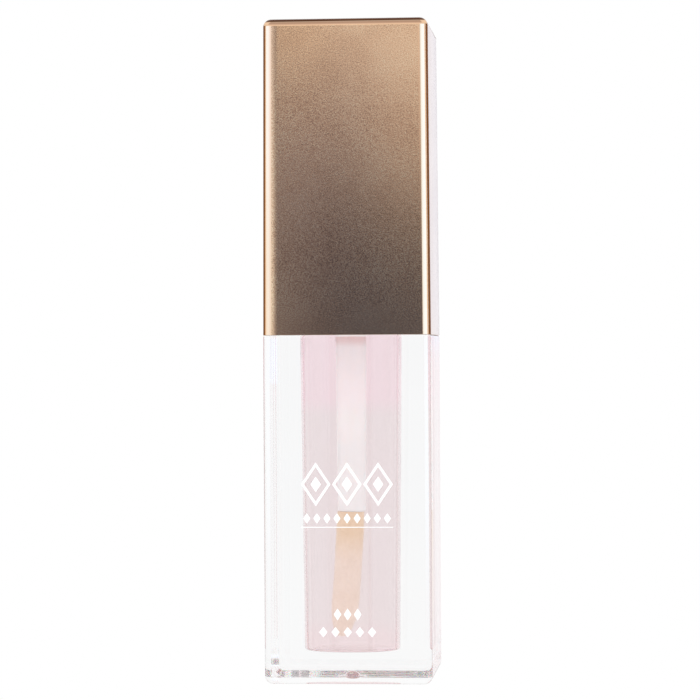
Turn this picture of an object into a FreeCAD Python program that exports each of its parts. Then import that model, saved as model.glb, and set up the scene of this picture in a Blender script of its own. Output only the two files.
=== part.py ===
# Lip gloss tube: clear square bottle with a round well, screw cap with a
# square over-shell, wand with a flocked doe-foot tip.
# Units are millimetres, +Z is up, the origin is the centre of the base, and
# the front face looks towards -Y.
import FreeCAD, Part
import math
import os

os.makedirs("parts", exist_ok=True)
V = FreeCAD.Vector

# ---------------------------------------------------------------- dimensions
SIDE = 20.0              # bottle and cap, across the flats at the seam
BOTTLE_H = 41.5          # base to shoulder
TOTAL_H = 79.2           # base to the top of the cap
BOTTLE_EDGE_R = 1.0      # vertical and bottom edges
SHOULDER_EDGE_R = 0.25   # edge where the cap meets the bottle

WELL_FLOOR_Z = 3.6
WELL_R_FLOOR = 5.72
WELL_R_TOP = 6.10
WELL_FLOOR_FILLET = 0.25

GATE_R = 1.75            # moulding gate recess under the base
GATE_DEPTH = 0.42
GATE_DIMPLE_R = 1.0
GATE_DIMPLE_Z = 1.0

NECK_R = 7.0
NECK_TOP_Z = 51.0
NECK_CHAMFER = 0.3
THREAD_PITCH = 3.0
THREAD_TURNS = 1.5
NECK_THREAD_CREST_R = 7.55
NECK_THREAD_Z0 = 44.3    # middle of the ridge at its start
CAP_THREAD_CREST_R = 7.61
CAP_THREAD_Z0 = 43.9

WIPER_FLANGE_R = 6.9
WIPER_FLANGE_T = 0.8
WIPER_R = 6.05
WIPER_BEAD_R = 6.15      # three beads bite 0.05 into the neck
WIPER_WALL = 0.75
WIPER_BOTTOM_Z = 42.7
WIPER_LIP_R = 2.0
WIPER_LIP_T = 0.4

GLOSS_LEVEL_Z = 42.3
GLOSS_GAP = 0.03         # round the wand, which moves

CAP_BOTTOM_Z = 41.65
CAP_TOP_SIDE = 19.62     # across the flats at the top, from the draft
CAP_EDGE_R = 1.1
CAP_TOP_EDGE_R = 0.9
CAP_BOTTOM_EDGE_R = 0.12
CAP_WALL = 1.15
CAP_TOP_T = 1.2
CAP_INNER_EDGE_R = 0.6

INNER_CAP_BOTTOM_Z = 41.95
INNER_CAP_FLANGE_T = 1.2
INNER_CAP_FLANGE_SIDE = 17.62
INNER_CAP_R = 8.45
INNER_CAP_ROOT_R = 7.90
INNER_CAP_CEILING_Z = 52.7
INNER_CAP_CEILING_T = 1.5
INNER_CAP_BOSS_R = 3.9
INNER_CAP_BOSS_TOP_Z = 62.2
INNER_CAP_RIB_HALF = 8.83   # bites into the over-shell
INNER_CAP_RIB_W = 0.9
INNER_CAP_RIB_AT = 3.2

SEAL_T = 0.8
SEAL_R = 7.40
SEAL_HOLE_R = 2.02
SEAL_GAP = 0.05

ROD_R_TOP = 1.95         # from the seam up
ROD_R_END = 1.775
ROD_END_Z = 20.2
ROD_FLANGE_R = 3.2
ROD_FLANGE_T = 0.8
ROD_PLUG_R = 1.90
ROD_PLUG_TOP_Z = 61.0
ROD_BEAD_R = 2.15
ROD_BEAD_Z = 58.0
ROD_SOCKET_R = 1.10
ROD_SOCKET_DEPTH = 8.2
SWIVEL_GAP = 0.05        # radial, wand head in the inner cap

CORE_STEM_R = 1.10
CORE_STEM_TOP_Z = 28.0
CORE_SHRINK = 0.62       # flock and its adhesive, thickness on the core

# applicator outline: z, centre x, half-width in x, half-width in y
TIP_SECTIONS = [
    (20.15, -0.12, 1.74, 1.74),
    (18.5, -0.20, 1.78, 1.76),
    (15.5, -0.38, 1.79, 1.76),
    (12.2, -0.61, 1.77, 1.74),
    (9.8, -0.80, 1.78, 1.72),
    (8.2, -0.94, 1.72, 1.66),
    (7.0, -1.08, 1.52, 1.52),
    (6.1, -1.20, 1.22, 1.28),
    (5.45, -1.28, 0.82, 0.92),
    (5.12, -1.32, 0.36, 0.44),
]


# ------------------------------------------------------------------- helpers
def turned(points):
    """A solid of revolution about Z from a closed (radius, z) outline."""
    pts = [V(r, 0, z) for r, z in points]
    face = Part.Face(Part.makePolygon(pts + [pts[0]]))
    return face.revolve(V(0, 0, 0), V(0, 0, 1), 360)


def cylinder(r, z0, z1):
    return Part.makeCylinder(r, z1 - z0, V(0, 0, z0), V(0, 0, 1))


def square_taper(half0, z0, half1, z1):
    """A square block whose flat sides lean in from half0 at z0 to half1 at z1."""
    lo = [V(-half0, -half0, z0), V(half0, -half0, z0), V(half0, half0, z0), V(-half0, half0, z0)]
    hi = [V(-half1, -half1, z1), V(half1, -half1, z1), V(half1, half1, z1), V(-half1, half1, z1)]
    rings = [lo[::-1], hi]
    for i in range(4):
        j = (i + 1) % 4
        rings.append([lo[i], lo[j], hi[j], hi[i]])
    faces = [Part.Face(Part.makePolygon(r + [r[0]])) for r in rings]
    solid = Part.makeSolid(Part.makeShell(faces))
    if solid.Volume < 0:
        solid.reverse()
    return solid


def upright_edges(shape):
    out = []
    for e in shape.Edges:
        a, b = e.Vertexes[0].Point, e.Vertexes[-1].Point
        if abs(a.z - b.z) > 1.0 and math.hypot(a.x - b.x, a.y - b.y) < 1.0:
            out.append(e)
    return out


def edges_at(shape, z, tol=1e-3):
    return [e for e in shape.Edges
            if all(abs(v.Point.z - z) < tol for v in e.Vertexes)
            and abs(e.BoundBox.ZMin - z) < tol and abs(e.BoundBox.ZMax - z) < tol]


def thread_ridge(root_r, crest_r, z0, pitch, turns, root_w, crest_w, start_deg=0.0):
    """A helical ridge from root_r to crest_r, rooted 0.25 inside its wall."""
    bite = 0.25 if crest_r > root_r else -0.25
    spine = Part.makeHelix(pitch, pitch * turns, root_r)
    prof = [
        V(root_r - bite, 0, -root_w / 2), V(root_r, 0, -root_w / 2),
        V(crest_r, 0, -crest_w / 2), V(crest_r, 0, crest_w / 2),
        V(root_r, 0, root_w / 2), V(root_r - bite, 0, root_w / 2),
    ]
    wire = Part.makePolygon(prof + [prof[0]])
    ridge = Part.Wire(spine).makePipeShell([wire], True, True)
    if ridge.ShapeType != "Solid":
        ridge = Part.makeSolid(Part.Shell(ridge.Faces))
    if ridge.Volume < 0:
        ridge.reverse()
    ridge.rotate(V(0, 0, 0), V(0, 0, 1), start_deg)
    ridge.translate(V(0, 0, z0))
    return ridge


def spline_section(z, cx, a, b, n=16):
    """A closed smooth ring; every ring starts at the same angle."""
    pts = [V(cx + a * math.cos(2 * math.pi * i / n), b * math.sin(2 * math.pi * i / n), z)
           for i in range(n)]
    c = Part.BSplineCurve()
    c.interpolate(pts, PeriodicFlag=True)
    return Part.Wire(c.toShape())


def lofted(sections, grow=0.0, z_shift=0.0):
    wires = [spline_section(z + z_shift, cx, a + grow, b + grow) for z, cx, a, b in sections]
    return Part.makeLoft(wires, True, False)


def write(name, shape):
    if shape.ShapeType == "Compound" and len(shape.Solids) == 1:
        shape = shape.Solids[0]
    shape = shape.removeSplitter() if shape.ShapeType == "Solid" else shape
    assert shape.isValid(), name
    assert all(s.Volume > 0 for s in shape.Solids), name
    shape.exportStep(os.path.join("parts", name + ".step"))
    bb = shape.BoundBox
    print("%-18s solids %d  volume %9.2f  z %.2f..%.2f  x %.2f..%.2f" % (
        name, len(shape.Solids), shape.Volume, bb.ZMin, bb.ZMax, bb.XMin, bb.XMax))


def well_r(z):
    t = (z - WELL_FLOOR_Z) / (BOTTLE_H - WELL_FLOOR_Z)
    return WELL_R_FLOOR + t * (WELL_R_TOP - WELL_R_FLOOR)


# -------------------------------------------------------------------- bottle
def well_solid(top_z):
    pts = [(0, WELL_FLOOR_Z), (WELL_R_FLOOR, WELL_FLOOR_Z), (WELL_R_TOP, BOTTLE_H)]
    if top_z > BOTTLE_H:
        pts.append((WELL_R_TOP, top_z))
    pts.append((0, top_z))
    s = turned(pts)
    rim = [e for e in edges_at(s, WELL_FLOOR_Z) if len(e.Vertexes) == 1]
    return s.makeFillet(WELL_FLOOR_FILLET, rim)


half = SIDE / 2
block = Part.makeBox(SIDE, SIDE, BOTTLE_H, V(-half, -half, 0))
block = block.makeFillet(BOTTLE_EDGE_R, upright_edges(block) + edges_at(block, 0.0))
block = block.makeFillet(SHOULDER_EDGE_R, edges_at(block, BOTTLE_H))
neck = turned([(0, BOTTLE_H - 2), (NECK_R, BOTTLE_H - 2), (NECK_R, NECK_TOP_Z - NECK_CHAMFER),
               (NECK_R - NECK_CHAMFER, NECK_TOP_Z), (0, NECK_TOP_Z)])
neck_thread = thread_ridge(NECK_R, NECK_THREAD_CREST_R, NECK_THREAD_Z0, THREAD_PITCH,
                           THREAD_TURNS, 1.3, 0.55)
bottle = block.fuse(neck).fuse(neck_thread)
bottle = bottle.cut(well_solid(NECK_TOP_Z + 1.0))
gate = cylinder(GATE_R, -0.5, GATE_DEPTH)
dimple_h = GATE_DIMPLE_Z - GATE_DEPTH
dimple_sphere_r = (GATE_DIMPLE_R ** 2 + dimple_h ** 2) / (2 * dimple_h)
dimple = Part.makeSphere(dimple_sphere_r, V(0, 0, GATE_DIMPLE_Z - dimple_sphere_r))
dimple = dimple.common(cylinder(GATE_DIMPLE_R + 0.5, GATE_DEPTH - 0.2, GATE_DIMPLE_Z + 1.0))
bottle = bottle.cut(gate.fuse(dimple))
write("bottle", bottle)

# --------------------------------------------------------------------- wiper
zt = NECK_TOP_Z
wiper_outline = [
    (WIPER_R, WIPER_BOTTOM_Z + 1.2), (WIPER_R - 0.5, WIPER_BOTTOM_Z + 0.3),
    (WIPER_LIP_R + 0.9, WIPER_BOTTOM_Z), (WIPER_LIP_R, WIPER_BOTTOM_Z),
    (WIPER_LIP_R, WIPER_BOTTOM_Z + WIPER_LIP_T),
    (WIPER_LIP_R + 0.8, WIPER_BOTTOM_Z + WIPER_LIP_T + 0.25),
    (WIPER_R - WIPER_WALL - 0.5, WIPER_BOTTOM_Z + 3.0),
    (WIPER_R - WIPER_WALL, WIPER_BOTTOM_Z + 5.2),
    (WIPER_R - WIPER_WALL, zt + WIPER_FLANGE_T - 0.3),
    (WIPER_R - WIPER_WALL + 0.3, zt + WIPER_FLANGE_T),
    (WIPER_FLANGE_R - 0.2, zt + WIPER_FLANGE_T), (WIPER_FLANGE_R, zt + WIPER_FLANGE_T - 0.2),
    (WIPER_FLANGE_R, zt), (WIPER_R, zt),
]
for zb in (zt - 1.4, zt - 3.2, zt - 5.0):
    wiper_outline += [(WIPER_R, zb + 0.3), (WIPER_BEAD_R, zb + 0.1),
                      (WIPER_BEAD_R, zb - 0.1), (WIPER_R, zb - 0.3)]
write("wiper", turned(wiper_outline))

# ---------------------------------------------------------------------- wand
flange_z = INNER_CAP_CEILING_Z + 0.05
rod = turned([
    (0, ROD_END_Z), (ROD_R_END - 0.15, ROD_END_Z), (ROD_R_END, ROD_END_Z + 0.15),
    (ROD_R_TOP, BOTTLE_H), (ROD_R_TOP, flange_z), (ROD_FLANGE_R, flange_z),
    (ROD_FLANGE_R, flange_z + ROD_FLANGE_T), (ROD_PLUG_R, flange_z + ROD_FLANGE_T),
    (ROD_PLUG_R, ROD_BEAD_Z - 0.45), (ROD_BEAD_R, ROD_BEAD_Z - 0.15),
    (ROD_BEAD_R, ROD_BEAD_Z + 0.15), (ROD_PLUG_R, ROD_BEAD_Z + 0.75),
    (ROD_PLUG_R, ROD_PLUG_TOP_Z - 0.5), (ROD_PLUG_R - 0.5, ROD_PLUG_TOP_Z),
    (0, ROD_PLUG_TOP_Z),
])
rod = rod.cut(cylinder(ROD_SOCKET_R, ROD_END_Z - 1.0, ROD_END_Z + ROD_SOCKET_DEPTH))
write("wand_rod", rod)

flock_outer = lofted(TIP_SECTIONS)
core_sections = [(z if i == 0 else z, cx, max(a - CORE_SHRINK, 0.12), max(b - CORE_SHRINK, 0.12))
                 for i, (z, cx, a, b) in enumerate(TIP_SECTIONS[:-2])]
core_body = lofted(core_sections)
core_collar = cylinder(CORE_STEM_R, ROD_END_Z - 1.6, CORE_STEM_TOP_Z - 0.4)
core_lead = turned([(0, CORE_STEM_TOP_Z - 0.4), (CORE_STEM_R, CORE_STEM_TOP_Z - 0.4),
                    (CORE_STEM_R - 0.35, CORE_STEM_TOP_Z), (0, CORE_STEM_TOP_Z)])
core = core_body.fuse(core_collar).fuse(core_lead)
write("applicator_core", core)
flock = flock_outer.cut(core)
write("applicator_flock", flock)

# --------------------------------------------------------------------- gloss
rod_room = turned([
    (0, ROD_END_Z - 0.3), (ROD_R_END + GLOSS_GAP, ROD_END_Z - 0.3),
    (ROD_R_TOP + GLOSS_GAP, BOTTLE_H), (ROD_R_TOP + GLOSS_GAP, NECK_TOP_Z), (0, NECK_TOP_Z),
])
tip_room_sections = [(z, cx, a + GLOSS_GAP, b + GLOSS_GAP) for z, cx, a, b in TIP_SECTIONS]
z_last, cx_last, a_last, b_last = TIP_SECTIONS[-1]
tip_room_sections[-1] = (z_last - GLOSS_GAP, cx_last, a_last + GLOSS_GAP, b_last + GLOSS_GAP)
tip_room = lofted(tip_room_sections)
gloss = well_solid(GLOSS_LEVEL_Z).cut(rod_room).cut(tip_room)
write("gloss_fill", gloss)

# ----------------------------------------------------------------- cap shell
h0, h1 = half, CAP_TOP_SIDE / 2
shell = square_taper(h0, CAP_BOTTOM_Z, h1, TOTAL_H)
shell = shell.makeFillet(CAP_EDGE_R, upright_edges(shell))
shell = shell.makeFillet(CAP_TOP_EDGE_R, edges_at(shell, TOTAL_H))
hollow = square_taper(h0 - CAP_WALL, CAP_BOTTOM_Z, h1 - CAP_WALL, TOTAL_H - CAP_TOP_T)
hollow = hollow.makeFillet(CAP_INNER_EDGE_R, upright_edges(hollow) + edges_at(hollow, TOTAL_H - CAP_TOP_T))
shell = shell.cut(hollow)
outer_rim = [e for e in edges_at(shell, CAP_BOTTOM_Z)
             if max(abs(v.Point.x) for v in e.Vertexes) > h0 - CAP_EDGE_R - 0.01
             and (max(abs(v.Point.x) for v in e.Vertexes) > h0 - 0.05
                  or max(abs(v.Point.y) for v in e.Vertexes) > h0 - 0.05)]
shell = shell.makeFillet(CAP_BOTTOM_EDGE_R, outer_rim)
write("cap_shell", shell)

# ----------------------------------------------------------------- inner cap
fl = INNER_CAP_FLANGE_SIDE / 2
zb = INNER_CAP_BOTTOM_Z
flange = Part.makeBox(2 * fl, 2 * fl, INNER_CAP_FLANGE_T, V(-fl, -fl, zb))
flange = flange.makeFillet(0.7, upright_edges(flange))
top_z = INNER_CAP_CEILING_Z + INNER_CAP_CEILING_T
body = turned([(0, zb), (INNER_CAP_R, zb), (INNER_CAP_R, top_z - 0.6),
               (INNER_CAP_R - 0.6, top_z), (INNER_CAP_BOSS_R, top_z),
               (INNER_CAP_BOSS_R, INNER_CAP_BOSS_TOP_Z - 0.4),
               (INNER_CAP_BOSS_R - 0.4, INNER_CAP_BOSS_TOP_Z), (0, INNER_CAP_BOSS_TOP_Z)])
inner_cap = body.fuse(flange)
for k in range(4):
    for at in (-INNER_CAP_RIB_AT, INNER_CAP_RIB_AT):
        rib = Part.makeBox(2.2, INNER_CAP_RIB_W, INNER_CAP_CEILING_Z - zb,
                           V(INNER_CAP_RIB_HALF - 2.2, at - INNER_CAP_RIB_W / 2, zb))
        rib.rotate(V(0, 0, 0), V(0, 0, 1), 90 * k)
        inner_cap = inner_cap.fuse(rib)
for k in range(4):
    web = Part.makeBox(INNER_CAP_R - 1.0, 0.9, 3.2, V(0, -0.45, top_z - 0.1))
    web.rotate(V(0, 0, 0), V(0, 0, 1), 45 + 90 * k)
    inner_cap = inner_cap.fuse(web)
g = SWIVEL_GAP
cavity = turned([
    (0, zb - 1.0), (INNER_CAP_ROOT_R, zb - 1.0), (INNER_CAP_ROOT_R, INNER_CAP_CEILING_Z),
    (ROD_FLANGE_R + g, INNER_CAP_CEILING_Z), (ROD_FLANGE_R + g, flange_z + ROD_FLANGE_T + g),
    (ROD_PLUG_R + g, flange_z + ROD_FLANGE_T + g), (ROD_PLUG_R + g, ROD_BEAD_Z - 0.5),
    (ROD_BEAD_R + g, ROD_BEAD_Z - 0.2), (ROD_BEAD_R + g, ROD_BEAD_Z + 0.2),
    (ROD_PLUG_R + g, ROD_BEAD_Z + 0.85), (ROD_PLUG_R + g, ROD_PLUG_TOP_Z + g),
    (0, ROD_PLUG_TOP_Z + g),
])
inner_cap = inner_cap.cut(cavity)
cap_thread = thread_ridge(INNER_CAP_ROOT_R, CAP_THREAD_CREST_R, CAP_THREAD_Z0, THREAD_PITCH,
                          THREAD_TURNS + 0.75, 1.2, 0.6, 180.0)
inner_cap = inner_cap.fuse(cap_thread)
# One moulding, written as two nodes that meet in the plane of its ceiling:
# the threaded skirt round the neck, and the crown that holds the wand's head.
below = Part.makeBox(40, 40, INNER_CAP_CEILING_Z, V(-20, -20, 0))
write("inner_cap_skirt", inner_cap.common(below))
write("inner_cap_crown", inner_cap.cut(below))

# ---------------------------------------------------------------------- seal
seal_z = NECK_TOP_Z + WIPER_FLANGE_T + SEAL_GAP
seal = turned([(SEAL_HOLE_R, seal_z), (SEAL_R, seal_z), (SEAL_R, seal_z + SEAL_T),
               (SEAL_HOLE_R, seal_z + SEAL_T)])
write("cap_seal", seal)
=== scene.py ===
import math
import random

import bpy
import numpy as np
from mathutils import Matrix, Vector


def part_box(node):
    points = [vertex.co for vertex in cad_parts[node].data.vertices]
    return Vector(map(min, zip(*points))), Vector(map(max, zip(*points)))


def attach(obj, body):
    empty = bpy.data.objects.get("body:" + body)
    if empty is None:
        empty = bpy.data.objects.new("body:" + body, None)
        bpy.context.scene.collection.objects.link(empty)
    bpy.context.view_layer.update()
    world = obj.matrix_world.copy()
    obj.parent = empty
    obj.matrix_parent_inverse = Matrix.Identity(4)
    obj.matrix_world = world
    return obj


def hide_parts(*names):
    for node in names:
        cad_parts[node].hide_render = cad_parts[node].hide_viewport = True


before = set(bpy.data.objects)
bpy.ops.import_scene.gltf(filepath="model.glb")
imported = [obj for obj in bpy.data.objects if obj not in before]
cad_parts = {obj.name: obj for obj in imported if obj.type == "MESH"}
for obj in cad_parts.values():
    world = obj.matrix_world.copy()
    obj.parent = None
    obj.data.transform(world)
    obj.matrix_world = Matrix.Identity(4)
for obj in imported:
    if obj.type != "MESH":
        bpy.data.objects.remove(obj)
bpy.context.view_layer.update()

MM = 0.001
rng = np.random.default_rng(11)

# ------------------------------------------------------------ sizes, from CAD
b_lo, b_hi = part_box("bottle")
c_lo, c_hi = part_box("cap_shell")
g_lo, g_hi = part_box("gloss_fill")
r_lo, r_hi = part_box("wand_rod")
HALF = (b_hi.x - b_lo.x) / 2 / MM          # 10
NECK_TOP = b_hi.z / MM                     # 51
CAP_Z0 = c_lo.z / MM                       # 41.65
CAP_Z1 = c_hi.z / MM                       # 79.2
WELL_FLOOR = g_lo.z / MM                   # 3.6
GLOSS_TOP = g_hi.z / MM                    # 42.3
ROD_END = r_lo.z / MM                      # 20.2
SHOULDER = 41.5
EDGE = 1.0
WELL_R0, WELL_R1, WELL_FILLET = 5.72, 6.10, 0.25
NECK_R, THREAD_R = 7.0, 7.55
CAP_TOP_HALF, CAP_EDGE, CAP_TOP_EDGE = 9.81, 1.1, 0.9
LIP = 0.13                                  # the coating rolls over the rim
CAP_WALL, CAP_ROOF = 1.15, 1.2


def well_r(z):
    return WELL_R0 + (z - WELL_FLOOR) / (SHOULDER - WELL_FLOOR) * (WELL_R1 - WELL_R0)


# ------------------------------------------------------------- ring surfaces
class Rings:
    """A closed skin made of rings with the same number of points, and its
    exact normals, so that flat faces stay flat right up to their fillets."""

    def __init__(self, n_arc=12, n_side=22):
        self.n = 4 * (n_arc + n_side)
        lat, base = [], []
        for k in range(4):
            a0 = math.pi / 2 * k
            for i in range(n_arc + 1):             # corner between two sides
                a = a0 + math.pi / 2 * i / n_arc
                lat.append((math.cos(a), math.sin(a)))
                base.append((k, None))
            for i in range(1, n_side):
                a = a0 + math.pi / 2
                lat.append((math.cos(a), math.sin(a)))
                base.append((k, i / n_side))
        self.lat = np.array([(x, y, 0.0) for x, y in lat])
        self.base = base
        ref = self.square(10.0, 1.0, 0.0)
        self.ang = np.arctan2(ref[:, 1], ref[:, 0])
        self.rad = np.column_stack([np.cos(self.ang), np.sin(self.ang), np.zeros(self.n)])
        self.rings, self.segs = [], []

    def square(self, h, r, z):
        r = max(r, 0.02)
        pts = []
        sign = [(1, 1), (-1, 1), (-1, -1), (1, -1)]
        for (k, t), (lx, ly, _) in zip(self.base, self.lat):
            cx, cy = sign[k][0] * (h - r), sign[k][1] * (h - r)
            if t is None:
                pts.append((cx + r * lx, cy + r * ly, z))
            else:
                nx, ny = sign[(k + 1) % 4][0] * (h - r), sign[(k + 1) % 4][1] * (h - r)
                pts.append((cx + r * lx + (nx - cx) * t, cy + r * ly + (ny - cy) * t, z))
        return np.array(pts)

    def circle(self, r, z):
        p = self.rad * r
        p[:, 2] = z
        return p

    def normal(self, kind, nr, nz):
        m = self.lat if kind == "s" else self.rad
        v = m * nr
        v[:, 2] = nz
        return v / np.linalg.norm(v, axis=1)[:, None]

    def start(self, ring):
        self.rings.append(ring)

    def to(self, ring, n0=None, n1=None):
        self.rings.append(ring)
        self.segs.append((n0, n1 if n1 is not None else n0))

    def build(self, name, pole0=None, n_pole0=None, pole1=None, n_pole1=None):
        n, k = self.n, len(self.rings)
        verts = np.concatenate(self.rings)
        verts = list(map(tuple, verts * MM))
        faces, wanted = [], []
        for s in range(k - 1):
            n0, n1 = self.segs[s]
            for i in range(n):
                j = (i + 1) % n
                faces.append((s * n + i, s * n + j, (s + 1) * n + j, (s + 1) * n + i))
                wanted.append(None if n0 is None else (n0[i], n0[j], n1[j], n1[i]))
        for pole, npole, ring, flip in ((pole0, n_pole0, 0, True), (pole1, n_pole1, k - 1, False)):
            if pole is None:
                continue
            verts.append(tuple(np.array(pole) * MM))
            c = len(verts) - 1
            nv = np.array(npole, float)
            for i in range(n):
                j = (i + 1) % n
                a, b = ring * n + i, ring * n + j
                faces.append((c, b, a) if flip else (a, b, c))
                wanted.append((nv, nv, nv))
        me = bpy.data.meshes.new(name)
        me.from_pydata(verts, [], faces)
        me.update()
        vol = sum(f.normal.dot(f.center) * f.area for f in me.polygons)
        if vol < 0:
            me.flip_normals()
        me.polygons.foreach_set("use_smooth", [True] * len(me.polygons))
        auto = vertex_normals(me)
        out = []
        for f, w in zip(me.polygons, wanted):
            order = list(f.vertices)
            src = faces[f.index]
            for v in order:
                if w is None:
                    out.append(tuple(auto[v]))
                else:
                    out.append(tuple(w[src.index(v)]))
        me.normals_split_custom_set(out)
        me.validate()
        ob = bpy.data.objects.new(name, me)
        bpy.context.scene.collection.objects.link(ob)
        return ob


def vertex_normals(me):
    nv = np.zeros((len(me.vertices), 3))
    for f in me.polygons:
        w = np.array(f.normal) * f.area
        for v in f.vertices:
            nv[v] += w
    ln = np.linalg.norm(nv, axis=1)
    ln[ln == 0] = 1
    return nv / ln[:, None]


# ------------------------------------------------------------- node shorthand
def material(name):
    m = bpy.data.materials.new(name)
    m.use_nodes = True
    nt = m.node_tree
    return m, nt, nt.nodes["Principled BSDF"]


def node(nt, kind, **props):
    nd = nt.nodes.new(kind)
    for k, v in props.items():
        if k in nd.inputs and not hasattr(nd, k):
            nd.inputs[k].default_value = v
        else:
            setattr(nd, k, v)
    return nd


def math_node(nt, op, a, b=None, c=None, clamp=False):
    nd = nt.nodes.new("ShaderNodeMath")
    nd.operation = op
    nd.use_clamp = clamp
    for i, v in enumerate((a, b, c)):
        if v is None:
            continue
        if isinstance(v, (int, float)):
            nd.inputs[i].default_value = v
        else:
            nt.links.new(v, nd.inputs[i])
    return nd.outputs[0]


def smooth(nt, value, lo, hi, out_lo=0.0, out_hi=1.0):
    nd = nt.nodes.new("ShaderNodeMapRange")
    nd.interpolation_type = "SMOOTHSTEP"
    nt.links.new(value, nd.inputs["Value"])
    nd.inputs["From Min"].default_value = lo
    nd.inputs["From Max"].default_value = hi
    nd.inputs["To Min"].default_value = out_lo
    nd.inputs["To Max"].default_value = out_hi
    return nd.outputs["Result"]


def noise_tex(nt, coord, scale, detail=3.0, rough=0.5, distort=0.0):
    nd = nt.nodes.new("ShaderNodeTexNoise")
    nd.inputs["Scale"].default_value = scale
    nd.inputs["Detail"].default_value = detail
    nd.inputs["Roughness"].default_value = rough
    nd.inputs["Distortion"].default_value = distort
    nt.links.new(coord, nd.inputs["Vector"])
    return nd.outputs["Fac"]


def ramp(nt, fac, stops):
    nd = nt.nodes.new("ShaderNodeValToRGB")
    el = nd.color_ramp.elements
    while len(el) < len(stops):
        el.new(0.5)
    for e, (p, c) in zip(el, stops):
        e.position = p
        e.color = (*c, 1.0) if len(c) == 3 else c
    nt.links.new(fac, nd.inputs["Fac"])
    return nd.outputs["Color"]


def bump(nt, height, strength, distance, normal=None):
    nd = nt.nodes.new("ShaderNodeBump")
    nd.inputs["Strength"].default_value = strength
    nd.inputs["Distance"].default_value = distance
    nt.links.new(height, nd.inputs["Height"])
    if normal is not None:
        nt.links.new(normal, nd.inputs["Normal"])
    return nd.outputs["Normal"]


def obj_coord(nt):
    return nt.nodes.new("ShaderNodeTexCoord").outputs["Object"]


# ------------------------------------------------------------------ materials
def mat_clear():
    m, nt, p = material("clear_moulding")
    co = obj_coord(nt)
    p.inputs["Transmission Weight"].default_value = 1.0
    p.inputs["IOR"].default_value = 1.52
    flow = noise_tex(nt, co, 190.0, 2.0, 0.45)
    clear = ramp(nt, flow, [(0.3, (0.970, 0.973, 0.975)), (0.7, (0.978, 0.980, 0.982))])
    sep = nt.nodes.new("ShaderNodeSeparateXYZ")
    nt.links.new(co, sep.inputs[0])
    r2 = math_node(nt, "ADD", math_node(nt, "POWER", sep.outputs[0], 2.0), math_node(nt, "POWER", sep.outputs[1], 2.0))
    gate = math_node(nt, "MULTIPLY", smooth(nt, math_node(nt, "SQRT", r2), 0.00190, 0.00184), smooth(nt, sep.outputs[2], 0.00115, 0.00105))
    torn = noise_tex(nt, co, 2600.0, 3.0, 0.6)
    mix = nt.nodes.new("ShaderNodeMix")
    mix.data_type = "RGBA"
    nt.links.new(gate, mix.inputs[0])
    nt.links.new(clear, mix.inputs[6])
    nt.links.new(ramp(nt, torn, [(0.35, (0.60, 0.47, 0.50)), (0.65, (0.80, 0.68, 0.70))]), mix.inputs[7])
    nt.links.new(mix.outputs[2], p.inputs["Base Color"])
    nt.links.new(bump(nt, flow, 0.07, 0.00006), p.inputs["Normal"])
    nt.links.new(math_node(nt, "MULTIPLY", gate, 0.25), p.inputs["Roughness"])
    return m


def mat_gloss():
    m, nt, p = material("pink_gloss")
    co = obj_coord(nt)
    drift = noise_tex(nt, co, 120.0, 3.0, 0.55, 0.6)
    upper = ramp(nt, drift, [(0.25, (0.946, 0.768, 0.806)), (0.75, (0.953, 0.780, 0.816))])
    lower = ramp(nt, drift, [(0.25, (0.894, 0.782, 0.791)), (0.75, (0.902, 0.794, 0.801))])
    floor = ramp(nt, drift, [(0.25, (0.920, 0.768, 0.780)), (0.75, (0.928, 0.778, 0.790))])
    sep = nt.nodes.new("ShaderNodeSeparateXYZ")
    nt.links.new(co, sep.inputs[0])
    wavy = math_node(nt, "ADD", sep.outputs[2], math_node(nt, "MULTIPLY", drift, 0.002))
    mix = nt.nodes.new("ShaderNodeMix")
    mix.data_type = "RGBA"
    nt.links.new(smooth(nt, wavy, 0.0322, 0.0352), mix.inputs[0])
    nt.links.new(lower, mix.inputs[6])
    nt.links.new(upper, mix.inputs[7])
    low = nt.nodes.new("ShaderNodeMix")
    low.data_type = "RGBA"
    nt.links.new(smooth(nt, wavy, 0.0055, 0.0085), low.inputs[0])
    nt.links.new(floor, low.inputs[6])
    nt.links.new(mix.outputs[2], low.inputs[7])
    nt.links.new(low.outputs[2], p.inputs["Base Color"])
    p.inputs["Transmission Weight"].default_value = 1.0
    p.inputs["IOR"].default_value = 1.46
    p.inputs["Roughness"].default_value = 0.0
    return m


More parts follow.
